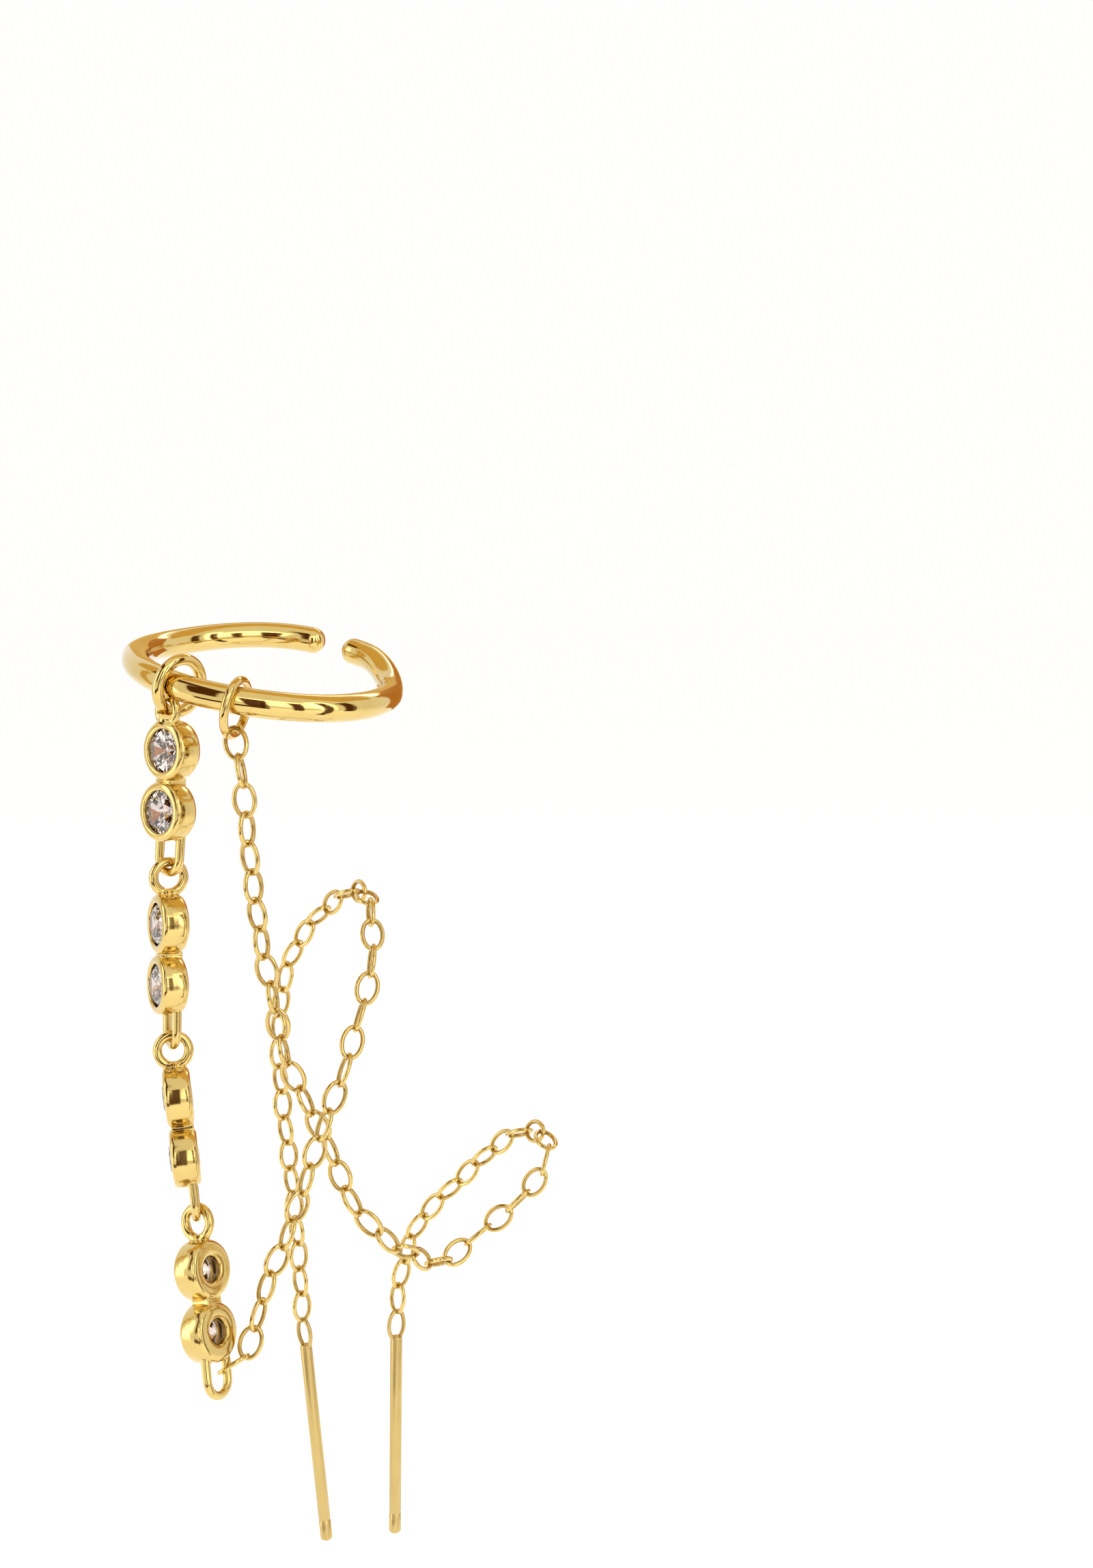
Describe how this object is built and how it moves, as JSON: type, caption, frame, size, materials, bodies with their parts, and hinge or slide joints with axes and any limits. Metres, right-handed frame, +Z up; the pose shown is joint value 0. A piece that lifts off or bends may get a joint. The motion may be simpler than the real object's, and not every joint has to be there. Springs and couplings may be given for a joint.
{
  "type": "ear cuff",
  "caption": "Open round ear cuff with a hanging drop of bezel-set round stones, and fine cable chains from cuff and drop that end in straight threader posts.",
  "frame": {"origin": "centre of the cuff's ring, where the rim of the ear goes through", "axes": "+Z up, front of the worn cuff towards -Y, +X towards the side that faces forward along the head"},
  "size_m": [0.0203, 0.0149, 0.0471],
  "materials": {
    "gold": "polished gold plate",
    "stone": "clear, faceted"
  },
  "bodies": {
    "root": {"cuff_ring": "gold", "drop_bail": "gold", "chain_ring": "gold", "bezel_pair_1": "gold", "bezel_pair_2": "gold", "bezel_pair_3": "gold", "bezel_pair_4": "gold", "stone_1": "stone", "stone_2": "stone", "stone_3": "stone", "stone_4": "stone", "stone_5": "stone", "stone_6": "stone", "stone_7": "stone", "stone_8": "stone", "lobe_chain": "gold", "lobe_post": "gold", "upper_chain": "gold", "upper_post": "gold"}
  },
  "joints": []
}
